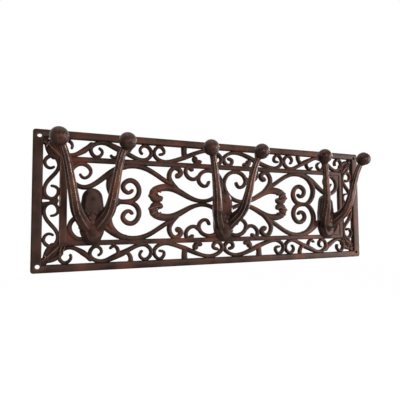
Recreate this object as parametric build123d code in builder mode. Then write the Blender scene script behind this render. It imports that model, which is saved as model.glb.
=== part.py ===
"""Cast-iron garden tool rack: an openwork scroll panel that carries three double hooks.

Millimetres. X runs along the panel, Z is up and the front faces -Y.
The origin is the middle of the four screw holes, on the flat back of the panel.
"""
import math
import os

from build123d import *

# Panel: overall size and the depths of its raised frame and of the lower scrollwork.
PANEL_W = 468.0
PANEL_H = 160.0
FRAME_T = 6.5
SCROLL_T = 5.0
CORNER_R = 3.0
FRAME_BEVEL = 1.0

# Outer frame, then the inner frame that stands off from it by the width of the border strip.
RAIL_W = 8.7
STILE_W = 11.0
BORDER_W = 20.0
SIDE_BORDER_W = 17.5
INNER_RAIL_W = 6.2
INNER_STILE_W = 8.5

# Screw holes in the four corners, measured in from the panel's edges.
SCREW_D = 5.0
SCREW_INSET = 7.0

# Three double hooks.
HOOK_PITCH = 172.0
BALL_D = 20.0
BALL_SPREAD = 71.0
BALL_REACH = 40.0
BALL_Z = 65.0

# Leaf-shaped foot of a hook: how far it stands proud, and the rounds at its top, middle and tip.
FOOT_T = 5.5
FOOT_TOP_Z = 14.5
FOOT_TIP_Z = -49.0
FOOT_TOP_R = 11.0
FOOT_WIDE_R = 14.0
FOOT_TIP_R = 12.0
FOOT_WIDE_Z = -14.0
FOOT_BEVEL = 3.5

# Prong section, across and fore-and-aft, at its root and under the ball.
# It thins fast at first, as the power says, and its eight sides come from cutting off the corners.
ROOT_Z = -25.5
ROOT_W = 14.0
ROOT_T = 15.0
NECK_W = 7.0
NECK_T = 7.0
PRONG_TAPER = 1.6
PRONG_CHAMFER = 0.28
PRONG_FACETS = 7

# The ornament's curves are cut into facets that leave the true curve by about this much.
FLAT = 0.42

half_w = PANEL_W / 2
half_h = PANEL_H / 2
inner_w = half_w - STILE_W - SIDE_BORDER_W
inner_h = half_h - RAIL_W - BORDER_W


# The ornament is drawn on a grid that is ruled at the middle, inner frame, outer frame and edge.
grid_x = (0, 205.5, 223, 234)
grid_z = (0, 51.3, 71.3, 80)
panel_x = (0, inner_w, half_w - STILE_W, half_w)
panel_z = (0, inner_h, half_h - RAIL_W, half_h)


def stretched(place, grid, panel):
    """Moves a place between two lines of the grid to its place between the panel's own lines."""
    i = sum(abs(place) > line for line in grid[1:-1])
    share = (abs(place) - grid[i]) / (grid[i + 1] - grid[i])
    return math.copysign(panel[i] + share * (panel[i + 1] - panel[i]), place)


def drawn(x, z):
    """A point of the ornament on the panel, which follows the frames on each side of it."""
    return Vector(stretched(x, grid_x, panel_x), stretched(z, grid_z, panel_z))


def width_at(widths, u):
    """The width of a scroll a fraction u of the way along, from widths spaced evenly along it."""
    place = u * (len(widths) - 1)
    i = min(int(place), len(widths) - 2)
    return widths[i] + (widths[i + 1] - widths[i]) * (place - i)


def round_end(centre, heading, radius):
    """The points between the two sides of a scroll at its end, turning to the left."""
    return [centre + heading.rotate(Axis.Z, turn) * radius for turn in (-30, 30)]


def facets(spine):
    """Fractions along a scroll where its facets end, closer together where it curls more."""
    looks = round(spine.length)
    ends, run, turn = [0.0], 0.0, 0.0
    for i in range(1, looks + 1):
        run += spine.length / looks
        turn += math.radians((spine % ((i - 1) / looks)).get_angle(spine % (i / looks)))
        if run * turn / 8 > FLAT:
            ends.append(i / looks)
            run = turn = 0.0
    return ends[:-1] + [1.0] if run < spine.length / looks * 2 else ends + [1.0]


def scroll(widths, *points):
    """Draws one scroll: a smooth centre line through the points, swelling as the widths say."""
    spine = Edge.make_spline([drawn(*p) for p in points])
    right, left = [], []
    for u in facets(spine):
        side = (spine % u).rotate(Axis.Z, 90) * (width_at(widths, u) / 2)
        left.append((spine @ u) + side)
        right.append((spine @ u) - side)
    end = round_end(spine @ 1, spine % 1, widths[-1] / 2)
    start = round_end(spine @ 0, -(spine % 0), widths[0] / 2)
    with BuildLine() as outline:
        Polyline(*right, *end, *reversed(left), *start, close=True)
    make_face(outline.edges())


def web(*points):
    """Draws a straight-sided filling between scrolls."""
    with BuildLine() as outline:
        Polyline(*[drawn(*p) for p in points], close=True)
    make_face(outline.edges())


with BuildPart() as scroll_panel:
    with BuildSketch(Plane.XZ) as ornament:
        # Hook scroll: from its curl round the C, then the long arch over the volute to the heart.
        scroll(
            (3.2, 4.6, 5.4, 5.6, 6.6, 7.4, 6.4, 5.8, 5.8),
            (183, 30.8), (177.5, 27.2), (171.2, 34), (180.5, 43.6), (194.2, 30), (180.5, 16.3),
            (166, 21), (149, 34.5), (135, 42), (121, 44.4), (104, 41), (88, 32), (73, 23.5),
        )
        # Outer ring of the volute, down to the bar that ties it to its mirror image.
        scroll((6, 6.8, 7.4, 6.8, 6), (130, 42.5), (143.8, 35), (150, 21), (146.8, 9), (138, 0.5))
        # Volute.
        scroll(
            (4.4, 5.6, 6.2, 5.8, 6, 6, 6.4),
            (122.8, 13.6), (128, 11.2), (133.6, 18), (125, 26.2), (114, 16), (118, 4.2), (131, 0),
            (139, 0),
        )
        # Half of the heart, from the leafy end to the point, on into the spiral by the middle hook.
        scroll(
            (8, 9, 9.5, 8, 6.6, 5.4, 5.4, 5.6, 5.4, 5.2, 5.2, 5, 4.2),
            (87.6, 4.6), (95, 4.4), (96.5, 11), (86, 18.2), (70, 17.4), (52, 8.8), (36, 2.9),
            (20, 3.8), (7.5, 12), (2, 26), (9, 39.5), (20.5, 43), (32, 38), (34.6, 28.5),
            (27, 22), (20.6, 27.4),
        )
        # Web between the hook scroll and the inner frame's corner.
        web((198, 46), (181, 46), (189.5, 39), (198, 29))
        # Scroll with a bud inside, hung from the inner rail and run down into the heart.
        scroll(
            (7.6, 6, 5.6, 6, 6.2, 5.6, 5),
            (63.6, 34.4), (59.8, 39), (66.5, 44.4), (75.2, 35), (70, 22.6), (56, 11.6),
        )
        # C-scroll between the bud and the spiral, with its own small bud.
        scroll((5, 5, 5, 5), (50.8, 46), (52, 36.5), (44.5, 30.8), (36, 34))
        scroll((7, 6, 5.4), (48.4, 47), (46.4, 45), (44.6, 43.2))

        # Border, from the corner: ring and diagonal.
        scroll(
            (3.4, 4, 4.6, 4.6, 4.8, 6.8, 5.6),
            (192.6, 61.6), (193, 66.8), (199, 70), (204.9, 62.3), (197.3, 53.4), (184, 56.2),
            (171, 67),
        )
        web((192, 53), (192, 50), (204, 50), (204, 53))
        # Running scroll that ends against its mirror image a fifth of the way in.
        scroll(
            (3, 4, 4.4, 4.8, 5, 5.4, 7, 7.4, 5.6, 5, 4.8, 4.8, 4.4, 4, 3.4),
            (161.6, 62.8), (158.4, 57.5), (164.5, 52.4), (171.6, 60.5), (160, 70), (146, 66.6),
            (132, 60.6), (118, 53.8), (106, 52.6), (98.6, 61.5), (106.5, 70), (112.4, 66), (110.6, 60),
        )
        scroll((4, 4.6, 4, 3.4), (141, 64), (139, 58), (142.5, 53.2), (148, 55))
        scroll((5, 5, 6.4), (130, 60), (124.8, 65), (124.2, 73))
        # Long running scroll to the middle of the panel, with the strut and the bud beside it.
        scroll(
            (3.4, 4, 4.4, 4.8, 5, 5.6, 6.4, 6.2, 5.4, 5, 5, 5, 4.8, 4.4),
            (87.4, 60.4), (81.8, 63.8), (87, 70.2), (95, 62), (86.5, 52.4), (70, 53.2), (54, 58.6),
            (38, 65.4), (22, 69.4), (9, 67), (2, 58.5), (9.6, 51.4), (14.6, 56), (9.5, 60.6),
        )
        scroll((8, 7, 7.4), (54.6, 73), (55, 66), (54, 59))
        scroll((8, 7.4, 6.4), (40, 57), (37, 53.4), (34, 53.6))
        # S-scroll down the end border.
        scroll(
            (3, 3.8, 4.2, 4.2, 4.4, 4.6, 4.4, 4.2, 4.2, 3.8, 3),
            (211.8, 38.3), (219, 38.4), (221.2, 44.2), (213.7, 51), (206.4, 42.4), (212.2, 28.8),
            (220.2, 17.5), (219, 5), (212.5, 2.4), (206.6, 10), (213.6, 16.9),
        )
        # Webs where it meets its mirror image, to the outer frame and to the inner one.
        web((224, 11), (224, 1.6), (211, -0.5), (218, 4.4))
        web((204, 12), (204, -0.5), (215, -0.5), (207.6, 4.6))
        # Leaf in the corner: its rib and a petal on each side.
        scroll((9, 8, 9), (202, 49), (214, 61), (227, 74))
        scroll((6, 5.6, 5), (212, 50), (217.4, 57), (219.6, 66))
        scroll((6, 5.6, 5), (203, 59), (209.5, 65), (218, 67))
        mirror(about=Plane.YZ)
        mirror(about=Plane.XZ)
        # Webs above the middle foot and beside its tip.
        web((-3, 23), (3, 23), (5, 12), (-5, 12))
        web((-19, -46), (-8, -46), (-8, -40), (-12, -41.5))
        web((19, -46), (8, -46), (8, -40), (12, -41.5))
        # The inner frame lies level with the scrolls.
        with BuildSketch(Plane.XZ) as inner_frame:
            Rectangle(2 * inner_w, 2 * inner_h)
            Rectangle(
                2 * (inner_w - INNER_STILE_W), 2 * (inner_h - INNER_RAIL_W), mode=Mode.SUBTRACT
            )
    extrude(amount=SCROLL_T)
    with BuildSketch(Plane.XZ) as outer_frame:
        RectangleRounded(PANEL_W, PANEL_H, CORNER_R)
        Rectangle(PANEL_W - 2 * STILE_W, PANEL_H - 2 * RAIL_W, mode=Mode.SUBTRACT)
    extrude(amount=FRAME_T)
    chamfer(scroll_panel.faces().sort_by(Axis.Y)[0].edges(), FRAME_BEVEL)
    with BuildSketch(Plane.XZ) as screw_holes:
        with GridLocations(PANEL_W - 2 * SCREW_INSET, PANEL_H - 2 * SCREW_INSET, 2, 2):
            Circle(SCREW_D / 2)
    extrude(amount=FRAME_T, mode=Mode.SUBTRACT)

# One double hook, built at the middle of the panel.
ball_x = BALL_SPREAD / 2
ball_y = -SCROLL_T - BALL_REACH
rise = BALL_Z - ROOT_Z
# The right-hand prong's route, as fractions of the way across, out and up from its root to the ball.
prong_route = [
    (0.1, 0.11, 0.0),
    (0.3, 0.24, 0.066),
    (0.49, 0.44, 0.16),
    (0.585, 0.61, 0.304),
    (0.68, 0.725, 0.525),
    (0.79, 0.82, 0.757),
    (1.0, 1.0, 1.0),
]
with BuildPart() as hook:
    with BuildSketch(Plane.XZ) as leaf:
        with Locations((0, FOOT_TOP_Z - FOOT_TOP_R)):
            Circle(FOOT_TOP_R)
        with Locations((0, FOOT_WIDE_Z)):
            Circle(FOOT_WIDE_R)
        with Locations((0, FOOT_TIP_Z + FOOT_TIP_R)):
            Circle(FOOT_TIP_R)
        make_hull()
    extrude(amount=SCROLL_T + FOOT_T)
    chamfer(hook.faces().sort_by(Axis.Y)[0].edges(), FOOT_BEVEL)
    with BuildLine() as prong_line:
        Spline(
            *[(ball_x * a, -SCROLL_T - BALL_REACH * o, ROOT_Z + rise * u) for a, o, u in prong_route]
        )
    route = prong_line.line
    for u in [i / PRONG_FACETS for i in range(PRONG_FACETS + 1)]:
        with BuildSketch(Plane(route @ u, x_dir=(1, 0, 0), z_dir=route % u)) as section:
            swell = (1 - u) ** PRONG_TAPER
            wide = NECK_W + (ROOT_W - NECK_W) * swell
            Rectangle(wide, NECK_T + (ROOT_T - NECK_T) * swell)
            chamfer(section.vertices(), wide * PRONG_CHAMFER)
    loft(ruled=True)
    mirror(about=Plane.YZ)
    # The balls are turned so that the prongs meet them clear of the spheres' poles and seams.
    with Locations((-ball_x, ball_y, BALL_Z), (ball_x, ball_y, BALL_Z)):
        Sphere(BALL_D / 2, rotation=(0, -90, 0))

# The casting: each hook's foot runs through the panel to its flat back.
with BuildPart() as tool_rack:
    add(scroll_panel.part)
    with Locations((-HOOK_PITCH, 0, 0), (0, 0, 0), (HOOK_PITCH, 0, 0)):
        add(hook.part)

tool_rack.part.label = "tool_rack"
os.makedirs("parts", exist_ok=True)
export_step(tool_rack.part, "parts/tool_rack.step")
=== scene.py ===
"""Dresses the cast-iron garden tool rack: scroll panel, double hooks and rivets, on a pale stage."""

import logging
import math
from dataclasses import dataclass
from enum import Enum
from typing import NamedTuple

import bmesh
import bpy
import numpy as np
from mathutils import Euler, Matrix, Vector

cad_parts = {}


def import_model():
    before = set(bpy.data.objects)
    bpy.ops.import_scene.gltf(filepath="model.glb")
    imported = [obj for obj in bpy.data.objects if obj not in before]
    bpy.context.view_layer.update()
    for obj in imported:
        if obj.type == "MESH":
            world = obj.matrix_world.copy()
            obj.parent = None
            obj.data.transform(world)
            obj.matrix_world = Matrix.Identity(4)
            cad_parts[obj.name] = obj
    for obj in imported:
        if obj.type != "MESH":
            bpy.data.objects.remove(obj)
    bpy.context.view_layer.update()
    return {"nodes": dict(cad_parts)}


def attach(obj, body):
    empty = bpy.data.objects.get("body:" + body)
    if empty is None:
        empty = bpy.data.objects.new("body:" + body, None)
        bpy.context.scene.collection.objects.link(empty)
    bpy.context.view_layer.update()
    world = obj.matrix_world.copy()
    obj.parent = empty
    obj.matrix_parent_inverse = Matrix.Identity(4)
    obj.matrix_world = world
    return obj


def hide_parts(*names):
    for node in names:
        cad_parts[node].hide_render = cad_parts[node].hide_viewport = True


log = logging.getLogger("tool_rack")

MM = 0.001
NODE = "tool_rack"
BODY = "root"

# The left-hand and right-hand hooks stand this far from the middle one, in millimetres.
HOOK_SPACING = 172.0
# Points nearer than this, in millimetres, are one point.
MERGE = 0.01
WHITE = (1.0, 1.0, 1.0, 1.0)
# Turns a shape that lies flat to face forward.
FACING = Euler((math.pi / 2, 0, 0)).to_matrix()
# A Mix node's sockets share their names, so they go by number: A, B and the result.
FLOAT_A, FLOAT_B, FLOAT_OUT = 2, 3, 0
COLOUR_A, COLOUR_B, COLOUR_OUT = 6, 7, 2

Point = tuple[float, float]
Spot = tuple[float, float, float]


class Section(Enum):
    """Cross-sections of a bar of the casting.

    Each has places across the bar, from -1 to 1, with the shares of its height there.
    """

    CROWNED = (
        (-1, 0), (-1, 0.62), (-0.86, 0.82), (-0.5, 0.95), (0, 1),
        (0.5, 0.95), (0.86, 0.82), (1, 0.62), (1, 0),
    )
    BEAD = ((-1, 0), (-1, 0.8), (-0.6, 0.95), (0, 1), (0.6, 0.95), (1, 0.8), (1, 0))


class Fusion(Enum):
    """What a fuse does with the other meshes."""

    JOIN = "UNION"
    CUT = "DIFFERENCE"


class Side(Enum):
    """The two prongs of a hook, by the sign of their X."""

    LEFT = -1
    RIGHT = 1


@dataclass(frozen=True)
class Scroll:
    """One scroll or vein of the ornament, in millimetres, drawn where X and Z are positive.

    The widths are spaced evenly along it, from its first point to its last.
    """

    name: str
    widths: tuple[float, ...]
    points: tuple[Point, ...]
    section: Section = Section.CROWNED
    height: float = 5.0


SCROLLS: tuple[Scroll, ...] = (
    Scroll(
        "hook_scroll",
        (3.2, 4.6, 5.4, 5.6, 6.6, 7.4, 6.4, 5.8, 5.8),
        ((183, 30.8), (177.5, 27.2), (171.2, 34), (180.5, 43.6), (194.2, 30), (180.5, 16.3), (166, 21),
         (149, 34.5), (135, 42), (121, 44.4), (104, 41), (88, 32), (73, 23.5)),
    ),
    Scroll(
        "volute_ring",
        (6, 6.8, 7.4, 6.8, 6),
        ((130, 42.5), (143.8, 35), (150, 21), (146.8, 9), (138, 0.5)),
    ),
    Scroll(
        "volute",
        (4.4, 5.6, 6.2, 5.8, 6, 6, 6.4),
        ((122.8, 13.6), (128, 11.2), (133.6, 18), (125, 26.2), (114, 16), (118, 4.2), (131, 0), (139, 0)),
    ),
    Scroll(
        "heart",
        (8, 9, 9.5, 8, 6.6, 5.4, 5.4, 5.6, 5.4, 5.2, 5.2, 5, 4.2),
        ((87.6, 4.6), (95, 4.4), (96.5, 11), (86, 18.2), (70, 17.4), (52, 8.8), (36, 2.9), (20, 3.8),
         (7.5, 12), (2, 26), (9, 39.5), (20.5, 43), (32, 38), (34.6, 28.5), (27, 22), (20.6, 27.4)),
    ),
    Scroll("leaf_lobe_top", (5, 3.6), ((89.5, 15.6), (93.4, 18.3)), Section.CROWNED, 4.8),
    Scroll("leaf_lobe_high", (6, 4.4), ((93, 12), (97.6, 14.7)), Section.CROWNED, 4.8),
    Scroll("leaf_lobe_low", (7, 4.8), ((94.4, 6.6), (99.8, 8.1)), Section.CROWNED, 4.8),
    Scroll("leaf_vein_top", (1.2, 1.6, 1.2), ((86.8, 12.6), (90.6, 16.1), (94, 18.7)), Section.BEAD, 5.7),
    Scroll("leaf_vein_high", (1.2, 1.6, 1.2), ((89.6, 8.6), (94.4, 12.2), (98.6, 15.2)), Section.BEAD, 5.8),
    Scroll("leaf_vein_low", (1.2, 1.6, 1.2), ((87, 4.8), (94.6, 6.3), (101, 8.4)), Section.BEAD, 5.8),
    Scroll(
        "bud_scroll",
        (7.6, 6, 5.6, 6, 6.2, 5.6, 5),
        ((63.6, 34.4), (59.8, 39), (66.5, 44.4), (75.2, 35), (70, 22.6), (56, 11.6)),
    ),
    Scroll("c_scroll", (5, 5, 5, 5), ((50.8, 46), (52, 36.5), (44.5, 30.8), (36, 34))),
    Scroll("c_scroll_bud", (7, 6, 5.4), ((48.4, 47), (46.4, 45), (44.6, 43.2))),
    Scroll(
        "corner_ring",
        (3.4, 4, 4.6, 4.6, 4.8, 6.8, 5.6),
        ((192.6, 61.6), (193, 66.8), (199, 70), (204.9, 62.3), (197.3, 53.4), (184, 56.2), (171, 67)),
    ),
    Scroll(
        "running_scroll",
        (3, 4, 4.4, 4.8, 5, 5.4, 7, 7.4, 5.6, 5, 4.8, 4.8, 4.4, 4, 3.4),
        ((161.6, 62.8), (158.4, 57.5), (164.5, 52.4), (171.6, 60.5), (160, 70), (146, 66.6), (132, 60.6),
         (118, 53.8), (106, 52.6), (98.6, 61.5), (106.5, 70), (112.4, 66), (110.6, 60)),
    ),
    Scroll("running_branch", (4, 4.6, 4, 3.4), ((141, 64), (139, 58), (142.5, 53.2), (148, 55))),
    Scroll("running_strut", (5, 5, 6.4), ((130, 60), (124.8, 65), (124.2, 73))),
    Scroll(
        "long_scroll",
        (3.4, 4, 4.4, 4.8, 5, 5.6, 6.4, 6.2, 5.4, 5, 5, 5, 4.8, 4.4),
        ((87.4, 60.4), (81.8, 63.8), (87, 70.2), (95, 62), (86.5, 52.4), (70, 53.2), (54, 58.6),
         (38, 65.4), (22, 69.4), (9, 67), (1.7, 58.5), (9.6, 51.4), (14.6, 56), (9.5, 60.6)),
    ),
    Scroll("long_strut", (8, 7, 7.4), ((54.6, 73), (55, 66), (54, 59))),
    Scroll("long_bud", (8, 7.4, 6.4), ((40, 57), (37, 53.4), (34, 53.6))),
    Scroll(
        "end_scroll",
        (3, 3.8, 4.2, 4.2, 4.4, 4.6, 4.4, 4.2, 4.2, 3.8, 3),
        ((211.8, 38.3), (219, 38.4), (221.2, 44.2), (213.7, 51), (206.4, 42.4), (212.2, 28.8),
         (220.2, 17.5), (219, 5), (212.5, 2.4), (206.6, 10), (213.6, 16.9)),
    ),
    Scroll("corner_leaf", (9, 8, 9), ((202, 49), (214, 61), (227, 74)), Section.CROWNED, 4.4),
    Scroll(
        "corner_petal_side", (6, 5.6, 5), ((212, 50), (217.4, 57), (219.6, 66)), Section.CROWNED, 4.4
    ),
    Scroll("corner_petal_top", (6, 5.6, 5), ((203, 59), (209.5, 65), (218, 67)), Section.CROWNED, 4.4),
    Scroll("corner_rib", (2, 2, 1.8), ((204.4, 50.2), (210.3, 56.1), (217, 62.4)), Section.BEAD, 5.9),
    Scroll(
        "corner_curl_top", (1.8, 1.6, 1.2), ((216.6, 61.9), (217.6, 64.6), (215.8, 67.4)), Section.BEAD, 5.6
    ),
    Scroll(
        "corner_curl_side", (1.4, 1.6, 1.2), ((220, 60.6), (219, 63.6), (222.4, 66)), Section.BEAD, 5.6
    ),
    Scroll("corner_vein_top", (1.6, 1.4, 1.2), ((201.2, 50), (203.4, 55), (204, 60)), Section.BEAD, 5.7),
    Scroll("corner_vein_far", (1.6, 1.4, 1.2), ((198.4, 50), (199.8, 54), (200.4, 57)), Section.BEAD, 5.6),
    Scroll("corner_vein_side", (1.4, 1.4, 1.2), ((206, 53), (211, 60.6), (212.6, 65)), Section.BEAD, 5.2),
)

# Fillings between the scrolls, which lie a little below them. These are in all four quarters.
WEBS: tuple[tuple[Point, ...], ...] = (
    ((198, 46), (181, 46), (189.5, 39), (198, 29)),
    ((192, 53), (192, 50), (204, 50), (204, 53)),
    ((147, 33), (154, 29.5), (153, 22), (150, 22)),
    ((224, 11), (224, 1.6), (213, 0.6), (218, 4.4)),
    ((204, 12), (204, -4), (220.1, -4), (207.6, 4.6)),
)
# Those that stand once, at the middle of the panel.
MIDDLE_WEBS: tuple[tuple[Point, ...], ...] = (
    ((-3, 23), (3, 23), (5, 12), (-5, 12)),
    ((-19, -46), (-8, -46), (-8, -40), (-12, -41.5)),
    ((19, -46), (8, -46), (8, -40), (12, -41.5)),
)


def linear(hex_colour: str) -> tuple[float, float, float, float]:
    """Turns an sRGB hex colour into a linear one, by the sRGB standard's curve.

    Args:
        hex_colour: Six hex digits after a hash sign.

    Returns:
        Red, green, blue and an alpha of 1.
    """
    shares = [int(hex_colour[i : i + 2], 16) / 255 for i in (1, 3, 5)]
    red, green, blue = (s / 12.92 if s <= 0.04045 else ((s + 0.055) / 1.055) ** 2.4 for s in shares)
    return red, green, blue, 1.0


def add_node(
    tree: bpy.types.NodeTree, kind: str, inputs: dict[str | int, object] | None = None, **settings: object
) -> bpy.types.Node:
    """Adds a node with its settings, values and links.

    Args:
        tree: The node tree that gets it.
        kind: The node's type name.
        inputs: Socket name or number to a value, or to the socket that feeds it.
        **settings: The node's own properties.

    Returns:
        The new node.
    """
    node = tree.nodes.new(kind)
    for key, value in settings.items():
        setattr(node, key, value)
    for socket, value in (inputs or {}).items():
        if isinstance(value, bpy.types.NodeSocket):
            tree.links.new(value, node.inputs[socket])
        else:
            node.inputs[socket].default_value = value
    return node


@dataclass(frozen=True)
class Pattern:
    """A noise pattern of a finish: how wide its spots are, in millimetres, and how finely it breaks up."""

    width: float
    detail: float


@dataclass(frozen=True)
class AntiquedCastIron:
    """Sand-cast iron under a brown-black stove finish, rubbed back to rust and bare metal on its edges.

    The eye gets a dull dark brown with soft rusty clouds, a grainy skin, and paler worn lines along the
    high edges. Walls and backs, which turn away from the front, are painted darker towards the soot colour
    as painted shade, and the rust shows only on what faces forward.
    """

    name: str = "sand_cast_iron_antiqued"
    # The darkest tone: a real sooty colour where the clouds are thin, and the painted shade on walls and
    # backs.
    soot_and_shade: str = "#1b1311"
    brown: str = "#3e2a24"
    rust: str = "#5f3628"
    rub: str = "#b88c7b"
    # The oxide film tints what the skin reflects.
    sheen: str = "#ffcbbd"
    # Clouds of the brushed finish, patches of rust, and flecks where the rubbing took hold.
    cloud: Pattern = Pattern(22.0, 5.0)
    patch: Pattern = Pattern(34.0, 7.0)
    fleck: Pattern = Pattern(5.0, 4.0)
    # Lumps that the sand mould leaves.
    lump: Pattern = Pattern(7.0, 3.0)
    # The sand's own grain, about 0.3 mm, is too fine to show, so it is drawn this coarse.
    grain: Pattern = Pattern(1.3, 2.0)
    # Where in its noise each one starts to show and is full.
    cloud_range: Point = (0.34, 0.62)
    rust_range: Point = (0.47, 0.7)
    fleck_range: Point = (0.3, 0.55)
    # The share of the brown that walls and backs keep where they are painted darker as painted shade.
    shaded_wall_brown: float = 0.3
    rough_range: Point = (0.36, 0.52)
    rough_rubbed: float = 0.3
    gloss: float = 0.4
    # How strong the bumps are, and how deep in millimetres.
    lump_bump: Point = (0.5, 0.35)
    grain_bump: Point = (0.4, 0.2)

    def build(self) -> bpy.types.Material:
        """Builds the material.

        Returns:
            The new material, which reads Object coordinates and the wear and front attributes.
        """
        material = bpy.data.materials.new(self.name)
        material.use_nodes = True
        tree = material.node_tree
        shader = tree.nodes["Principled BSDF"]
        place = add_node(tree, "ShaderNodeTexCoord").outputs["Object"]
        wear = add_node(tree, "ShaderNodeAttribute", attribute_name="wear").outputs["Fac"]
        front = add_node(tree, "ShaderNodeAttribute", attribute_name="front").outputs["Fac"]
        cloud, patch, fleck, lump, grain = (
            add_node(
                tree, "ShaderNodeTexNoise",
                {"Vector": place, "Scale": 1 / (pattern.width * MM), "Detail": pattern.detail},
            ).outputs["Fac"]
            for pattern in (self.cloud, self.patch, self.fleck, self.lump, self.grain)
        )
        cloudy, rusty, flecked = (
            add_node(
                tree, "ShaderNodeMapRange", {"Value": noise, "From Min": low, "From Max": high},
                interpolation_type="SMOOTHSTEP",
            ).outputs["Result"]
            for noise, (low, high) in (
                (cloud, self.cloud_range), (patch, self.rust_range), (fleck, self.fleck_range),
            )
        )
        # Painted shade: what doesn't face forward is darkened from the brown towards the soot colour, and
        # the rust patches show only on forward faces.
        lit = add_node(
            tree, "ShaderNodeMapRange", {"Value": front, "To Min": self.shaded_wall_brown, "To Max": 1.0}
        ).outputs["Result"]
        rubbed, shown, tone = (
            add_node(tree, "ShaderNodeMath", {0: one, 1: other}, operation="MULTIPLY").outputs[0]
            for one, other in ((wear, flecked), (rusty, front), (cloudy, lit))
        )
        colour = linear(self.soot_and_shade)
        for share, hex_colour in ((tone, self.brown), (shown, self.rust), (rubbed, self.rub)):
            layer = add_node(
                tree, "ShaderNodeMix",
                {"Factor": share, COLOUR_A: colour, COLOUR_B: linear(hex_colour)}, data_type="RGBA",
            )
            colour = layer.outputs[COLOUR_OUT]
        tree.links.new(colour, shader.inputs["Base Color"])
        low, high = self.rough_range
        rough = add_node(tree, "ShaderNodeMapRange", {"Value": cloud, "To Min": low, "To Max": high})
        polish = add_node(
            tree, "ShaderNodeMix",
            {"Factor": rubbed, FLOAT_A: rough.outputs["Result"], FLOAT_B: self.rough_rubbed},
            data_type="FLOAT",
        )
        tree.links.new(polish.outputs[FLOAT_OUT], shader.inputs["Roughness"])
        tree.links.new(rubbed, shader.inputs["Metallic"])
        strength, depth = self.lump_bump
        lumpy = add_node(
            tree, "ShaderNodeBump", {"Height": lump, "Strength": strength, "Distance": depth * MM}
        ).outputs["Normal"]
        strength, depth = self.grain_bump
        grainy = add_node(
            tree, "ShaderNodeBump",
            {"Height": grain, "Strength": strength, "Distance": depth * MM, "Normal": lumpy},
        ).outputs["Normal"]
        tree.links.new(grainy, shader.inputs["Normal"])
        shader.inputs["Specular IOR Level"].default_value = self.gloss
        shader.inputs["Specular Tint"].default_value = linear(self.sheen)
        return material


def spline_slopes(at: np.ndarray, points: np.ndarray, follow: int = 4) -> np.ndarray:
    """Slopes of the smooth curve through points.

    Args:
        at: Each point's distance along the chords.
        points: The points, one a row.
        follow: How many of its nearest points an end follows.

    Returns:
        The slope at each point, one a row.
    """
    count, near = len(at), min(follow, len(at))
    lhs, rhs = np.eye(count), np.zeros_like(points)
    rhs[0] = np.polyfit(at[:near] - at[0], points[:near], near - 1)[-2]
    rhs[-1] = np.polyfit(at[-near:] - at[-1], points[-near:], near - 1)[-2]
    for i in range(1, count - 1):
        before, after = at[i] - at[i - 1], at[i + 1] - at[i]
        lhs[i, i - 1 : i + 2] = after, 2 * (before + after), before
        rise = after * (points[i] - points[i - 1]) / before + before * (points[i + 1] - points[i]) / after
        rhs[i] = 3 * rise
    return np.linalg.solve(lhs, rhs)


def smooth_line(
    points: np.ndarray, step: float, finer: int = 8, least_fine: int = 40, least: int = 3
) -> tuple[np.ndarray, np.ndarray]:
    """Follows the smooth curve through points at even steps.

    Args:
        points: The points, one a row.
        step: Distance between the stations, in the points' units.
        finer: How many times finer the curve is measured than it is stepped.
        least_fine: The fewest places to measure it at.
        least: The fewest stations.

    Returns:
        The stations and the unit tangents there, one a row.
    """
    at = np.concatenate([[0.0], np.cumsum(np.linalg.norm(np.diff(points, axis=0), axis=1))])
    slopes = spline_slopes(at, points)
    fine = np.linspace(0, at[-1], max(least_fine, int(at[-1] / step * finer)))
    leg = np.clip(np.searchsorted(at, fine, side="right") - 1, 0, len(at) - 2)
    gap = (at[leg + 1] - at[leg])[:, None]
    u = (fine - at[leg])[:, None] / gap
    line = (
        (2 * u**3 - 3 * u**2 + 1) * points[leg]
        + (u**3 - 2 * u**2 + u) * gap * slopes[leg]
        + (3 * u**2 - 2 * u**3) * points[leg + 1]
        + (u**3 - u**2) * gap * slopes[leg + 1]
    )
    run = np.concatenate([[0.0], np.cumsum(np.linalg.norm(np.diff(line, axis=0), axis=1))])
    even = np.linspace(0, run[-1], max(least, round(run[-1] / step) + 1))
    stations = np.stack([np.interp(even, run, line[:, k]) for k in range(points.shape[1])], axis=1)
    tangents = np.gradient(stations, axis=0)
    return stations, tangents / np.linalg.norm(tangents, axis=1, keepdims=True)


def new_piece(name: str, mesh: bmesh.types.BMesh) -> bpy.types.Object:
    """Makes an object at the origin from a bmesh, and frees the bmesh.

    Args:
        name: The object's name.
        mesh: The finished bmesh, in metres.

    Returns:
        The new object, in the scene.
    """
    data = bpy.data.meshes.new(name)
    mesh.to_mesh(data)
    mesh.free()
    piece = bpy.data.objects.new(name, data)
    bpy.context.scene.collection.objects.link(piece)
    return piece


def settle(piece: bpy.types.Object) -> None:
    """Makes an object's modifiers part of its mesh.

    Args:
        piece: The object, in the scene.
    """
    bpy.context.view_layer.update()
    baked = bpy.data.meshes.new_from_object(piece.evaluated_get(bpy.context.evaluated_depsgraph_get()))
    piece.modifiers.clear()
    piece.data = baked


def fuse(base: bpy.types.Object, others: list[bpy.types.Object], how: Fusion) -> None:
    """Joins closed meshes to a base, or cuts them out of it, and removes them.

    Args:
        base: The object that keeps the result.
        others: Closed objects to join or cut.
        how: Whether they are joined or cut.
    """
    group = bpy.data.collections.new("fuse")
    bpy.context.scene.collection.children.link(group)
    for other in others:
        bpy.context.scene.collection.objects.unlink(other)
        group.objects.link(other)
    cut = base.modifiers.new("fuse", "BOOLEAN")
    cut.operation = how.value
    cut.operand_type = "COLLECTION"
    cut.collection = group
    cut.solver = "EXACT"
    settle(base)
    for other in others:
        bpy.data.meshes.remove(other.data)
    bpy.data.collections.remove(group)


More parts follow.
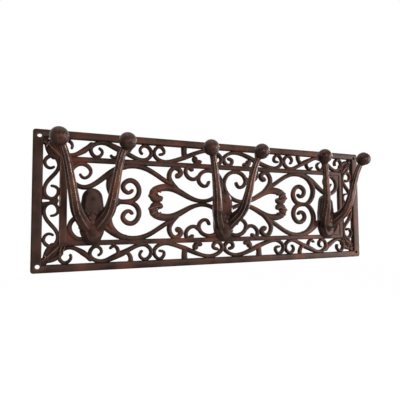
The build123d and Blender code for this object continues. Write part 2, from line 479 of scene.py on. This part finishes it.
def drop_slivers(piece: bpy.types.Object, weld: float, least: int) -> None:
    """Welds the hair-thin faces that a fuse leaves where walls just touch, and drops loose scraps.

    Args:
        piece: The fused object.
        weld: Points nearer than this, in millimetres, become one.
        least: Islands of fewer faces than this are scraps.
    """
    mesh = bmesh.new()
    mesh.from_mesh(piece.data)
    bmesh.ops.triangulate(mesh, faces=mesh.faces[:])
    bmesh.ops.remove_doubles(mesh, verts=mesh.verts[:], dist=weld * MM)
    bmesh.ops.dissolve_degenerate(mesh, edges=mesh.edges[:], dist=weld * MM)
    left = set(mesh.faces)
    scraps = []
    while left:
        island, rim = set(), {left.pop()}
        while rim:
            island |= rim
            rim = {near for face in rim for side in face.edges for near in side.link_faces} - island
        left -= island
        if len(island) < least:
            scraps.extend(island)
    bmesh.ops.delete(mesh, geom=scraps, context="FACES")
    bmesh.ops.recalc_face_normals(mesh, faces=mesh.faces[:])
    mesh.to_mesh(piece.data)
    mesh.free()


def mark_skin(
    piece: bpy.types.Object, stands: Point, heights: tuple[Point, ...], gain: float = 1.25
) -> None:
    """Writes the attributes that the finish reads.

    They are wear, from 0 on flats and in hollows to 1 on the edges that hands and tools rub, and front,
    from 0 on walls and backs to 1 on what faces forward, by which the finish paints walls and backs
    darker as painted shade.

    Args:
        piece: The object, with its final mesh.
        stands: How far a point stands out from its neighbours, per edge length, where wear starts and
            where it is full.
        heights: Heights above the wall, in millimetres, each with the share of wear that shows there.
        gain: Lifts what faces nearly forward to a front of 1.
    """
    data = piece.data
    places, normals = np.zeros((2, len(data.vertices) * 3))
    data.vertices.foreach_get("co", places)
    data.vertices.foreach_get("normal", normals)
    places, normals = places.reshape(-1, 3), normals.reshape(-1, 3)
    ends = np.zeros(len(data.edges) * 2, np.int64)
    data.edges.foreach_get("vertices", ends)
    ends = ends.reshape(-1, 2)
    across = places[ends[:, 0]] - places[ends[:, 1]]
    across /= np.maximum(np.linalg.norm(across, axis=1, keepdims=True), np.finfo(np.float32).tiny)
    stand, count = np.zeros((2, len(places)))
    for here, sign in ((0, 1.0), (1, -1.0)):
        np.add.at(stand, ends[:, here], sign * np.einsum("ij,ij->i", across, normals[ends[:, here]]))
        np.add.at(count, ends[:, here], 1)
    soft, sharp = stands
    rubbed = np.clip((stand / np.maximum(count, 1) - soft) / (sharp - soft), 0, 1)
    marks = {
        "wear": rubbed * np.interp(-places[:, 1] / MM, *zip(*heights)),
        # front tells the finish where to paint walls and backs darker as painted shade.
        "front": np.clip(-normals[:, 1] * gain, 0, 1),
    }
    for name, values in marks.items():
        data.attributes.new(name, "FLOAT", "POINT").data.foreach_set("value", values.astype(np.float32))


def dress(piece: bpy.types.Object, material: bpy.types.Material, angle: float) -> bpy.types.Object:
    """Gives a piece its finish, shading and place on the rack.

    Args:
        piece: The finished object.
        material: Its material.
        angle: Edges sharper than this, in degrees, stay crisp.

    Returns:
        The same object.
    """
    data = piece.data
    data.materials.clear()
    data.materials.append(material)
    data.shade_smooth()
    data.set_sharp_from_angle(angle=math.radians(angle))
    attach(piece, BODY)
    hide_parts(NODE)
    return piece


class Station(NamedTuple):
    """A cut across a bar: its middle, its direction, half of its width and the share of its full height."""

    place: np.ndarray
    ahead: np.ndarray
    half: float
    rise: float = 1.0


@dataclass
class ScrollPanel:
    """The openwork panel, in millimetres: two frames, scrollwork, corner leaves and screw holes."""

    width: float = 468.0
    height: float = 160.0
    frame_depth: float = 6.5
    rail: float = 8.7
    stile: float = 11.0
    border: float = 20.0
    side_border: float = 17.5
    inner_rail: float = 6.2
    inner_stile: float = 8.5
    corner_radius: float = 3.0
    corner_steps: int = 4
    screw_hole: float = 5.0
    screw_inset: float = 7.0
    screw_sides: int = 32
    pin_length: float = 30.0
    web_depth: float = 3.8
    # A filling's back is this far in from the panel's, so that the two don't lie in one plane.
    web_back: float = 0.3
    # Distance between the cuts across a scroll, and the angles of those that round its ends.
    step: float = 1.6
    end_bends: tuple[float, ...] = (30.0, 60.0, 82.0)
    # Edges longer than this are cut, so that wear at a corner doesn't spread along the frame.
    longest: float = 50.0
    cuts: int = 30
    # What the fused mesh is welded within, and the fewest faces that aren't a scrap.
    weld: float = 0.03
    least_faces: int = 50
    # What lies this near to a mirror's plane counts as on it.
    on_plane: float = 0.001
    # The wear starts and is full where points stand out this far, and shows at these heights.
    wear_stands: Point = (0.1, 0.3)
    wear_heights: tuple[Point, ...] = ((5.1, 0.0), (5.6, 1.0), (5.95, 1.0), (6.2, 0.12))
    # Edges sharper than this, in degrees, stay crisp.
    crisp: float = 38.0
    # The outer frame's softened edge: insets from its wall, and drops below its face.
    frame_edge: tuple[Point, ...] = ((0.0, 1.4), (0.3, 0.6), (0.8, 0.15), (1.6, 0.0))
    # The inner frame's section, from its outer edge in: shares of its width, and heights.
    # A bead stands along the outer edge, then comes a flat band that rounds off at the inner edge.
    inner_section: tuple[Point, ...] = (
        (0, 0), (0, 4.6), (0.04, 5.4), (0.11, 5.8), (0.18, 5.4), (0.23, 4.5), (0.45, 4.5), (0.7, 4.6),
        (0.86, 4.5), (0.96, 4.1), (1, 3.5), (1, 0),
    )

    def build(self, material: bpy.types.Material) -> bpy.types.Object:
        """Builds one quarter of the panel as a fused mesh, mirrors it and adds what isn't in four.

        Args:
            material: The finish of the casting.

        Returns:
            The dressed panel.
        """
        panel = self._outer_frame()
        quarter = [self._bar(scroll) for scroll in SCROLLS] + [self._web(web) for web in WEBS]
        fuse(panel, [self._inner_frame()] + quarter, Fusion.JOIN)
        fuse(panel, [self._screw_pin()], Fusion.CUT)
        self._mirror(panel)
        drop_slivers(panel, self.weld, self.least_faces)
        fuse(panel, [self._web(web) for web in MIDDLE_WEBS], Fusion.JOIN)
        mark_skin(panel, self.wear_stands, self.wear_heights)
        return dress(panel, material, self.crisp)

    def _ring(self, name: str, half: Point, outline: list[Spot], radius: float) -> bpy.types.Object:
        """Bends a grid into a mitred rectangular frame.

        Args:
            name: The object's name.
            half: Half of its width and half of its height.
            outline: The bar's section, as inset from the ends, inset from the long sides, and height.
            radius: Of its outer corners.

        Returns:
            The frame, not yet dressed.
        """
        turns = [math.radians(90 / self.corner_steps * i) for i in range(self.corner_steps + 1)]
        corners = [(1, 1, turns), (-1, 1, turns[::-1]), (-1, -1, turns), (1, -1, turns[::-1])]
        spots = [(sx, sz, t) for sx, sz, ts in corners for t in ts]
        mesh = bmesh.new()
        rows, columns = len(spots), len(outline)
        grid = bmesh.ops.create_grid(mesh, x_segments=rows, y_segments=columns, size=1.0)
        for vert in grid["verts"]:
            sx, sz, turn = spots[round((vert.co.x + 1) / 2 * rows) % rows]
            in_x, in_z, high = outline[round((vert.co.y + 1) / 2 * columns) % columns]
            reach_x = half[0] - max(in_x, radius) + max(radius - in_x, 0) * math.cos(turn)
            reach_z = half[1] - max(in_z, radius) + max(radius - in_z, 0) * math.sin(turn)
            vert.co = Vector((sx * reach_x, -high, sz * reach_z)) * MM
        bmesh.ops.remove_doubles(mesh, verts=mesh.verts[:], dist=MERGE * MM)
        bmesh.ops.dissolve_degenerate(mesh, edges=mesh.edges[:], dist=MERGE / 2 * MM)
        sides = [edge for edge in mesh.edges if edge.calc_length() > self.longest * MM]
        bmesh.ops.subdivide_edges(mesh, edges=sides, cuts=self.cuts)
        bmesh.ops.recalc_face_normals(mesh, faces=mesh.faces[:])
        return new_piece(name, mesh)

    def _outer_frame(self) -> bpy.types.Object:
        """Builds the outer frame, a flat bar with softened edges.

        Returns:
            The frame, not yet dressed.
        """
        soft = [(0.0, 0.0)] + [(inset, self.frame_depth - drop) for inset, drop in self.frame_edge]
        outer = [(inset, inset, high) for inset, high in soft]
        inner = [(self.stile - inset, self.rail - inset, high) for inset, high in reversed(soft)]
        half = (self.width / 2, self.height / 2)
        return self._ring("scroll_panel", half, outer + inner, self.corner_radius)

    def _inner_frame(self) -> bpy.types.Object:
        """Builds the inner frame, a moulded bar.

        Returns:
            The frame, not yet dressed.
        """
        half = (
            self.width / 2 - self.stile - self.side_border,
            self.height / 2 - self.rail - self.border,
        )
        outline = [
            (share * self.inner_stile, share * self.inner_rail, high) for share, high in self.inner_section
        ]
        return self._ring("inner_frame", half, outline, 0.0)

    def _bar(self, scroll: Scroll) -> bpy.types.Object:
        """Bends a bar of the scroll's section along its line, with rounded ends and a flat back.

        Args:
            scroll: The scroll.

        Returns:
            The bar, not yet dressed.
        """
        line, along = smooth_line(np.array(scroll.points, float), self.step)
        shares = np.linspace(0, len(scroll.widths) - 1, len(line))
        halves = np.interp(shares, range(len(scroll.widths)), scroll.widths) / 2
        body = [Station(*cut) for cut in zip(line, along, halves)]
        root, tip = self._round_end(body[0], -1), self._round_end(body[-1], 1)
        stations = root[::-1] + body + tip
        stations = [stations[0]._replace(rise=0.0), *stations, stations[-1]._replace(rise=0.0)]
        section = scroll.section.value
        mesh = bmesh.new()
        rows, columns = len(stations) - 1, len(section) - 1
        grid = bmesh.ops.create_grid(mesh, x_segments=rows, y_segments=columns, size=1.0)
        for vert in grid["verts"]:
            place, ahead, half, rise = stations[round((vert.co.x + 1) / 2 * rows)]
            across, high = section[round((vert.co.y + 1) / 2 * columns)]
            x = place[0] - ahead[1] * across * half
            z = place[1] + ahead[0] * across * half
            vert.co = Vector((x, -high * rise * scroll.height, z)) * MM
        bmesh.ops.remove_doubles(mesh, verts=mesh.verts[:], dist=MERGE * MM)
        bmesh.ops.holes_fill(mesh, edges=[e for e in mesh.edges if e.is_boundary], sides=0)
        bmesh.ops.recalc_face_normals(mesh, faces=mesh.faces[:])
        return new_piece(scroll.name, mesh)

    def _round_end(self, last: Station, way: int) -> list[Station]:
        """Rounds off a bar beyond its last full cut.

        Args:
            last: That cut.
            way: 1 where the end lies ahead of it, -1 where it lies behind.

        Returns:
            The cuts from there to the tip.
        """
        cuts = []
        for bend in (math.radians(angle) for angle in self.end_bends):
            place = last.place + way * last.ahead * last.half * math.sin(bend)
            cuts.append(Station(place, last.ahead, last.half * math.cos(bend)))
        return cuts

    def _web(self, corners: tuple[Point, ...]) -> bpy.types.Object:
        """Builds a straight-sided filling between scrolls.

        Args:
            corners: Its outline.

        Returns:
            The filling, not yet dressed.
        """
        mesh = bmesh.new()
        outline = [mesh.verts.new(Vector((x, -self.web_back, z)) * MM) for x, z in corners]
        face = bmesh.ops.contextual_create(mesh, geom=outline)["faces"]
        raised = bmesh.ops.extrude_face_region(mesh, geom=face, use_keep_orig=True)["geom"]
        top = [part for part in raised if isinstance(part, bmesh.types.BMVert)]
        bmesh.ops.translate(mesh, verts=top, vec=(0, (self.web_back - self.web_depth) * MM, 0))
        bmesh.ops.recalc_face_normals(mesh, faces=mesh.faces[:])
        return new_piece("web", mesh)

    def _screw_pin(self) -> bpy.types.Object:
        """Makes a pin through the corner, to cut the screw hole.

        Returns:
            The pin.
        """
        mesh = bmesh.new()
        radius = self.screw_hole / 2 * MM
        bmesh.ops.create_cone(
            mesh, cap_ends=True, segments=self.screw_sides, depth=self.pin_length * MM,
            radius1=radius, radius2=radius,
        )
        bmesh.ops.rotate(mesh, verts=mesh.verts[:], matrix=FACING)
        spot = (self.width / 2 - self.screw_inset, 0, self.height / 2 - self.screw_inset)
        bmesh.ops.translate(mesh, verts=mesh.verts[:], vec=Vector(spot) * MM)
        return new_piece("screw_pin", mesh)

    def _mirror(self, panel: bpy.types.Object) -> None:
        """Keeps the quarter of a panel where X and Z are positive, and mirrors it to all four.

        Args:
            panel: The fused panel, whose other quarters aren't finished.
        """
        mesh = bmesh.new()
        mesh.from_mesh(panel.data)
        for axis in ((1, 0, 0), (0, 0, 1)):
            whole = mesh.verts[:] + mesh.edges[:] + mesh.faces[:]
            bmesh.ops.bisect_plane(
                mesh, geom=whole, dist=self.on_plane * MM, plane_co=(0, 0, 0), plane_no=axis,
                clear_inner=True,
            )
        for axis in ("X", "Z"):
            whole = mesh.verts[:] + mesh.edges[:] + mesh.faces[:]
            bmesh.ops.mirror(mesh, geom=whole, axis=axis, merge_dist=MERGE * MM)
        bmesh.ops.recalc_face_normals(mesh, faces=mesh.faces[:])
        mesh.to_mesh(panel.data)
        mesh.free()


@dataclass
class DoubleHook:
    """One double hook, in millimetres: a leaf-shaped foot and two upswept prongs that end in balls."""

    name: str
    at_x: float
    # How far the foot stands to the right of the middle of the balls.
    lean: float = 0.0
    panel_depth: float = 5.0
    foot_depth: float = 5.5
    foot_edge: float = 1.0
    # Rounds of the foot's outline on the panel, and of its narrower front: their Z and radius.
    foot_rounds: tuple[Point, ...] = ((3.5, 11.6), (-14.0, 14.0), (-33.0, 13.8), (-39.5, 11.2))
    foot_fronts: tuple[Point, ...] = ((2.5, 7.6), (-13.0, 9.0), (-31.0, 8.4), (-40.0, 6.0))
    # A keel eases the prongs' fork into the foot: the Z, radius and height of its rounds.
    keel: tuple[Spot, ...] = (
        (-15.0, 2.5, 11.0), (-22.0, 5.0, 14.0), (-27.0, 5.5, 13.6), (-37.0, 4.0, 10.4),
    )
    round_sides: int = 48
    # A boss under the fork, and its Y and Z.
    boss_radius: float = 4.0
    boss_at: Point = (-11.5, -24.0)
    boss_finer: int = 3
    # The Z of the rivets through the foot.
    rivet_z: Point = (3.0, -37.0)
    ball_radius: float = 10.0
    ball_around: int = 40
    ball_rings: int = 24
    ball_x: float = 35.5
    ball_reach: float = 40.0
    ball_z: float = 65.0
    root_z: float = -25.5
    # A prong's width and depth at its root and at the ball, and the power by which each one thins.
    root_size: Point = (16.0, 20.0)
    neck_size: Point = (7.5, 7.5)
    tapers: Point = (1.6, 2.3)
    # The share of its width that each cut corner takes.
    chamfer: float = 0.28
    # A prong's root, sunk in the foot, stays this far in front of the wall.
    off_wall: float = 1.0
    prong_step: float = 2.5
    # A prong's line, as shares of the ball's distance across, out from the panel and up from the root.
    route: tuple[Spot, ...] = (
        (0.13, -0.1, -0.05), (0.24, 0.1, 0.015), (0.37, 0.27, 0.08), (0.5, 0.45, 0.165),
        (0.585, 0.61, 0.304), (0.68, 0.725, 0.525), (0.79, 0.82, 0.757), (1.0, 1.0, 1.0),
    )
    # The grid that the cast skin is made on, how far it is eased, and the share of its faces that is kept.
    skin: float = 0.55
    easing: float = 0.4
    thinning: float = 0.38
    # The wear starts and is full where points stand out this far, and shows at these heights.
    wear_stands: Point = (0.04, 0.12)
    wear_heights: tuple[Point, ...] = ((9.5, 0.0), (24.0, 1.0))
    # Edges sharper than this, in degrees, stay crisp: on the eased skin there are none.
    crisp: float = 180.0

    def build(self, material: bpy.types.Material) -> bpy.types.Object:
        """Builds the hook as one cast skin with soft inner corners.

        Args:
            material: The finish of the casting.

        Returns:
            The dressed hook.
        """
        mesh = bmesh.new()
        wall, top = self.panel_depth + self.foot_edge, self.panel_depth + self.foot_depth
        foot = [(z, radius, high) for high in (0.0, wall) for z, radius in self.foot_rounds]
        self._hull(mesh, foot + [(z, radius, top) for z, radius in self.foot_fronts])
        self._hull(mesh, list(self.keel))
        for side in Side:
            self._prong(mesh, side)
            ball = bmesh.ops.create_uvsphere(
                mesh, u_segments=self.ball_around, v_segments=self.ball_rings, radius=self.ball_radius * MM
            )
            centre = (side.value * self.ball_x, -self.panel_depth - self.ball_reach, self.ball_z)
            bmesh.ops.translate(mesh, verts=ball["verts"], vec=Vector(centre) * MM)
        boss = bmesh.ops.create_icosphere(mesh, subdivisions=self.boss_finer, radius=self.boss_radius * MM)
        bmesh.ops.translate(mesh, verts=boss["verts"], vec=Vector((self.lean, *self.boss_at)) * MM)
        bmesh.ops.translate(mesh, verts=mesh.verts[:], vec=(self.at_x * MM, 0, 0))
        bmesh.ops.recalc_face_normals(mesh, faces=mesh.faces[:])
        hook = new_piece(self.name, mesh)
        cast = hook.modifiers.new("cast", "REMESH")
        cast.mode = "VOXEL"
        cast.voxel_size = self.skin * MM
        ease = hook.modifiers.new("ease", "SMOOTH")
        ease.factor = self.easing
        ease.iterations = 1
        thin = hook.modifiers.new("thin", "DECIMATE")
        thin.ratio = self.thinning
        settle(hook)
        mark_skin(hook, self.wear_stands, self.wear_heights)
        return dress(hook, material, self.crisp)

    def _hull(self, mesh: bmesh.types.BMesh, rounds: list[Spot]) -> None:
        """Adds the tightest skin around level rounds on the hook's middle line.

        Args:
            mesh: The bmesh that gets it.
            rounds: Each round's Z, radius and height above the wall.
        """
        verts = []
        for z, radius, high in rounds:
            ring = bmesh.ops.create_circle(mesh, segments=self.round_sides, radius=radius * MM)["verts"]
            bmesh.ops.rotate(mesh, verts=ring, matrix=FACING)
            bmesh.ops.translate(mesh, verts=ring, vec=Vector((self.lean, -high, z)) * MM)
            verts.extend(ring)
        hull = bmesh.ops.convex_hull(mesh, input=verts)
        loose = dict.fromkeys(hull["geom_interior"] + hull["geom_unused"])
        spare = [part for part in loose if isinstance(part, bmesh.types.BMVert)]
        bmesh.ops.delete(mesh, geom=spare, context="VERTS")

    def _section(self, left: float) -> tuple[Point, ...]:
        """Gives a prong's section, an oblong with its corners cut.

        Args:
            left: The share of the prong that is still to come, from 1 at its root to 0 at the ball.

        Returns:
            The eight corners' places across and along its depth.
        """
        wide, deep = (
            (neck + (root - neck) * left**taper) / 2
            for root, neck, taper in zip(self.root_size, self.neck_size, self.tapers)
        )
        cut = 2 * wide * self.chamfer
        return (
            (wide, deep - cut), (wide - cut, deep), (cut - wide, deep), (-wide, deep - cut),
            (-wide, cut - deep), (cut - wide, -deep), (wide - cut, -deep), (wide, cut - deep),
        )

    def _prong(self, mesh: bmesh.types.BMesh, side: Side) -> None:
        """Adds a prong: an eight-sided bar that thins along its route to the ball.

        Args:
            mesh: The bmesh that gets it.
            side: Which prong.
        """
        rise = self.ball_z - self.root_z
        points = np.array(
            [
                (self.ball_x * across, -self.panel_depth - self.ball_reach * out, self.root_z + rise * up)
                for across, out, up in self.route
            ]
        )
        line, along = smooth_line(points, self.prong_step)
        rows = len(line) - 1
        sections = [self._section(1 - i / rows) for i in range(rows + 1)]
        columns = len(sections[0])
        grid = bmesh.ops.create_grid(mesh, x_segments=rows, y_segments=columns, size=1.0)
        for vert in grid["verts"]:
            i = round((vert.co.x + 1) / 2 * rows)
            wide, deep = sections[i][round((vert.co.y + 1) / 2 * columns) % columns]
            ahead = Vector(along[i])
            right = (Vector((1, 0, 0)) - ahead * ahead.x).normalized()
            spot = Vector(line[i]) + right * wide + ahead.cross(right) * deep
            spot.x = side.value * spot.x + self.lean * (1 - i / rows)
            spot.y = min(spot.y, -self.off_wall)
            vert.co = spot * MM
        bmesh.ops.remove_doubles(mesh, verts=grid["verts"], dist=MERGE * MM)
        bmesh.ops.holes_fill(mesh, edges=[e for e in mesh.edges if e.is_boundary], sides=0)


@dataclass
class Rivets:
    """The rivet ends on the hooks' feet, in millimetres: low domes, two to a foot."""

    places: tuple[Point, ...]
    face: float = 10.7
    radius: float = 2.2
    dome: float = 0.8
    around: int = 24
    rings: int = 12
    # The wear starts and is full where points stand out this far, and shows at these heights.
    wear_stands: Point = (0.02, 0.12)
    wear_heights: tuple[Point, ...] = ((10.0, 0.0), (11.0, 1.0))
    # Edges sharper than this, in degrees, stay crisp.
    crisp: float = 60.0

    def build(self, material: bpy.types.Material) -> bpy.types.Object:
        """Builds all the rivet ends as one piece.

        Args:
            material: The finish of the rivets.

        Returns:
            The dressed rivets.
        """
        mesh = bmesh.new()
        for x, z in self.places:
            dome = bmesh.ops.create_uvsphere(
                mesh, u_segments=self.around, v_segments=self.rings, radius=1.0
            )["verts"]
            bmesh.ops.scale(mesh, verts=dome, vec=Vector((self.radius, self.dome, self.radius)) * MM)
            bmesh.ops.translate(mesh, verts=dome, vec=Vector((x, -self.face, z)) * MM)
        bmesh.ops.recalc_face_normals(mesh, faces=mesh.faces[:])
        rivets = new_piece("rivet_ends", mesh)
        mark_skin(rivets, self.wear_stands, self.wear_heights)
        return dress(rivets, material, self.crisp)


@dataclass(frozen=True)
class Lamp:
    """A soft rectangular studio lamp, in metres and watts."""

    name: str
    place: Spot
    size: Point
    watts: float

    def build(self) -> None:
        """Hangs the lamp, aimed at the middle of the rack."""
        data = bpy.data.lights.new(self.name, "AREA")
        data.shape = "RECTANGLE"
        data.size, data.size_y = self.size
        data.energy = self.watts
        lamp = bpy.data.objects.new(self.name, data)
        lamp.location = self.place
        lamp.rotation_euler = (-Vector(self.place)).to_track_quat("-Z", "Y").to_euler()
        bpy.context.scene.collection.objects.link(lamp)


@dataclass(frozen=True)
class PaleFloor:
    """Matt white floor paint.

    It is nearly white to the eye, with the rack's soft shadow, and pale to the light.
    """

    name: str = "pale_floor"
    paint: str = "#c8c6c3"
    # What the eye sees is this paint, lifted by a glow.
    shaded: str = "#7c7c7c"
    glow: float = 0.95

    def build(self) -> bpy.types.Material:
        """Builds the material.

        Returns:
            The new material.
        """
        material = bpy.data.materials.new(self.name)
        material.use_nodes = True
        tree = material.node_tree
        tree.nodes.clear()
        path = add_node(tree, "ShaderNodeLightPath").outputs
        seen = add_node(
            tree, "ShaderNodeMath", {0: path["Is Camera Ray"], 1: path["Is Transmission Ray"]},
            operation="MAXIMUM",
        )
        paint, shaded = (
            add_node(tree, "ShaderNodeBsdfDiffuse", {"Color": linear(hex_colour)})
            for hex_colour in (self.paint, self.shaded)
        )
        white = add_node(tree, "ShaderNodeEmission", {"Color": WHITE, "Strength": self.glow})
        bright = add_node(tree, "ShaderNodeAddShader", {0: shaded.outputs[0], 1: white.outputs[0]})
        mix = add_node(
            tree, "ShaderNodeMixShader", {0: seen.outputs[0], 1: paint.outputs[0], 2: bright.outputs[0]}
        )
        add_node(tree, "ShaderNodeOutputMaterial", {"Surface": mix.outputs[0]})
        return material


@dataclass(frozen=True)
class WhiteRoom:
    """The surroundings: a white wall behind the rack and a dimmer room in front, which lights it softly."""

    name: str = "white_studio"
    # The Y of a mirrored ray where the room ends and where the wall starts, and how bright they are.
    room_y: float = -0.2
    wall_y: float = 0.3
    room_glow: float = 0.2
    wall_glow: float = 1.0
    # The light that comes from all round.
    ambient: float = 0.22
    # How bright the eye sees it.
    seen_glow: float = 1.0

    def build(self) -> bpy.types.World:
        """Builds the world.

        Returns:
            The new world.
        """
        world = bpy.data.worlds.new(self.name)
        world.use_nodes = True
        tree = world.node_tree
        back = tree.nodes["Background"]
        back.inputs["Color"].default_value = WHITE
        path = add_node(tree, "ShaderNodeLightPath").outputs
        way = add_node(tree, "ShaderNodeTexCoord").outputs["Generated"]
        depth = add_node(tree, "ShaderNodeSeparateXYZ", {0: way}).outputs["Y"]
        room = add_node(
            tree, "ShaderNodeMapRange",
            {"Value": depth, "From Min": self.room_y, "From Max": self.wall_y,
             "To Min": self.room_glow, "To Max": self.wall_glow},
        ).outputs["Result"]
        seen = add_node(
            tree, "ShaderNodeMath", {0: path["Is Camera Ray"], 1: path["Is Transmission Ray"]},
            operation="MAXIMUM",
        ).outputs[0]
        glow = add_node(
            tree, "ShaderNodeMix", {"Factor": path["Is Glossy Ray"], FLOAT_A: self.ambient, FLOAT_B: room},
            data_type="FLOAT",
        ).outputs[FLOAT_OUT]
        strength = add_node(
            tree, "ShaderNodeMix", {"Factor": seen, FLOAT_A: glow, FLOAT_B: self.seen_glow},
            data_type="FLOAT",
        ).outputs[FLOAT_OUT]
        tree.links.new(strength, back.inputs["Strength"])
        return world


@dataclass
class Studio:
    """The pale stage, the light and the camera, in metres."""

    floor_z: float = -0.6
    floor_half: float = 4.0
    lamps: tuple[Lamp, ...] = (
        Lamp("key_right", (0.86, -0.5, 0.0), (0.6, 0.6), 7.0),
        Lamp("rim_right", (0.7, 0.3, 0.0), (0.2, 0.7), 5.0),
        Lamp("fill_front", (0.12, -0.85, 0.1), (0.3, 0.3), 2.0),
        Lamp("fill_left", (-0.4, -0.65, -0.06), (0.2, 0.2), 0.6),
        Lamp("top", (-0.1, -0.3, 0.95), (1.0, 0.5), 2.5),
    )
    camera_place: Spot = (-0.21814, -0.45133, -0.02461)
    # In degrees, and the lens and its sensor in millimetres.
    camera_turn: Spot = (93.348, 0.361, -22.366)
    camera_lens: float = 33.469
    camera_sensor: float = 36.0
    camera_nearest: float = 0.01

    def build(self) -> None:
        """Sets the stage."""
        bpy.context.scene.view_settings.view_transform = "Standard"
        self._floor()
        bpy.context.scene.world = WhiteRoom().build()
        for lamp in self.lamps:
            lamp.build()
        self._camera()

    def _floor(self) -> None:
        """Lays the floor."""
        mesh = bmesh.new()
        bmesh.ops.create_grid(mesh, x_segments=1, y_segments=1, size=self.floor_half)
        bmesh.ops.translate(mesh, verts=mesh.verts[:], vec=(0, 0, self.floor_z))
        floor = new_piece("floor", mesh)
        floor.data.materials.append(PaleFloor().build())

    def _camera(self) -> None:
        """Puts the camera where the photograph was taken."""
        data = bpy.data.cameras.new("camera")
        data.sensor_width = self.camera_sensor
        data.lens = self.camera_lens
        data.clip_start = self.camera_nearest
        camera = bpy.data.objects.new("camera", data)
        camera.location = self.camera_place
        camera.rotation_euler = [math.radians(angle) for angle in self.camera_turn]
        bpy.context.scene.collection.objects.link(camera)
        bpy.context.scene.camera = camera


def main() -> None:
    """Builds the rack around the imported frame."""
    logging.basicConfig(level=logging.INFO, format="%(message)s")
    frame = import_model()
    log.info("frame nodes: %s", ", ".join(frame["nodes"]))
    panel_finish = AntiquedCastIron().build()
    hook_finish = AntiquedCastIron(
        name="sand_cast_iron_handled", brown="#3f2d28", rub="#d8b4a4", rust_range=(0.47, 0.72),
        rough_range=(0.3, 0.44),
    ).build()
    rivet_finish = AntiquedCastIron(
        name="iron_rivet_sooted", soot_and_shade="#221916", brown="#372822", rub="#4a3830"
    ).build()
    hooks = (
        DoubleHook("hook_left", -HOOK_SPACING, lean=2.5),
        DoubleHook("hook_middle", 0.0),
        DoubleHook("hook_right", HOOK_SPACING),
    )
    rivets = Rivets(tuple((hook.at_x + hook.lean, z) for hook in hooks for z in hook.rivet_z))
    pieces = [ScrollPanel().build(panel_finish)]
    pieces.extend(hook.build(hook_finish) for hook in hooks)
    pieces.append(rivets.build(rivet_finish))
    for piece in pieces:
        log.info("%s: %d faces", piece.name, len(piece.data.polygons))
    Studio().build()


if __name__ == "__main__":
    main()
